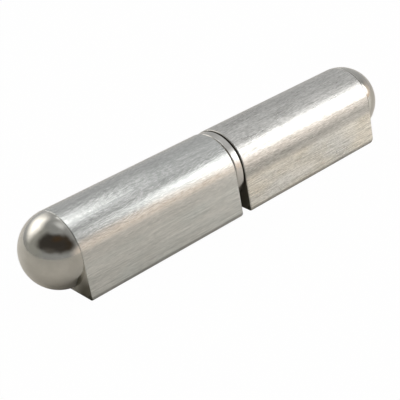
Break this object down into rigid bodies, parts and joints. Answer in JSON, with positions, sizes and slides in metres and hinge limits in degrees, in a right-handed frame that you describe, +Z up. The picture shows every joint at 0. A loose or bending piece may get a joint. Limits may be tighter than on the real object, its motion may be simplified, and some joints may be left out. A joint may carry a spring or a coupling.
{
  "type": "weld-on barrel hinge",
  "caption": "Lift-off barrel hinge with two drop-section leaves for welding, a pressed-in pin, a thrust washer between the leaves and domed end caps.",
  "frame": {"origin": "on the surface that the hinge lies on, below the centre of its outline", "axes": "+X runs along the pin from the leaf that holds it to the leaf that lifts off; the hinge lies on one flat of each leaf, with +Z up and the weld edges towards -Y"},
  "size_m": [0.1, 0.0172, 0.016],
  "materials": {
    "pin_leaf_steel": "drawn bar, fine grain along its length",
    "lift_leaf_steel": "drawn bar, fine grain along its length",
    "cap_steel": "turned and polished smooth",
    "washer_steel": "fine turned",
    "pin_steel": "ground"
  },
  "bodies": {
    "pin_side": {"pin_leaf": "pin_leaf_steel", "hinge_pin": "pin_steel", "pin_leaf_cap": "cap_steel"},
    "washer": {"thrust_washer": "washer_steel"},
    "lift_side": {"lift_leaf": "lift_leaf_steel", "lift_leaf_cap": "cap_steel"}
  },
  "joints": [
    {"name": "swing", "type": "hinge", "parent": "pin_side", "child": "washer", "pos_m": [0, 0.00063, 0.008], "axis": [1, 0, 0], "continuous": true},
    {"name": "lift_off", "type": "slide", "parent": "washer", "child": "lift_side", "axis": [1, 0, 0], "range_m": [0, 0.032]}
  ]
}
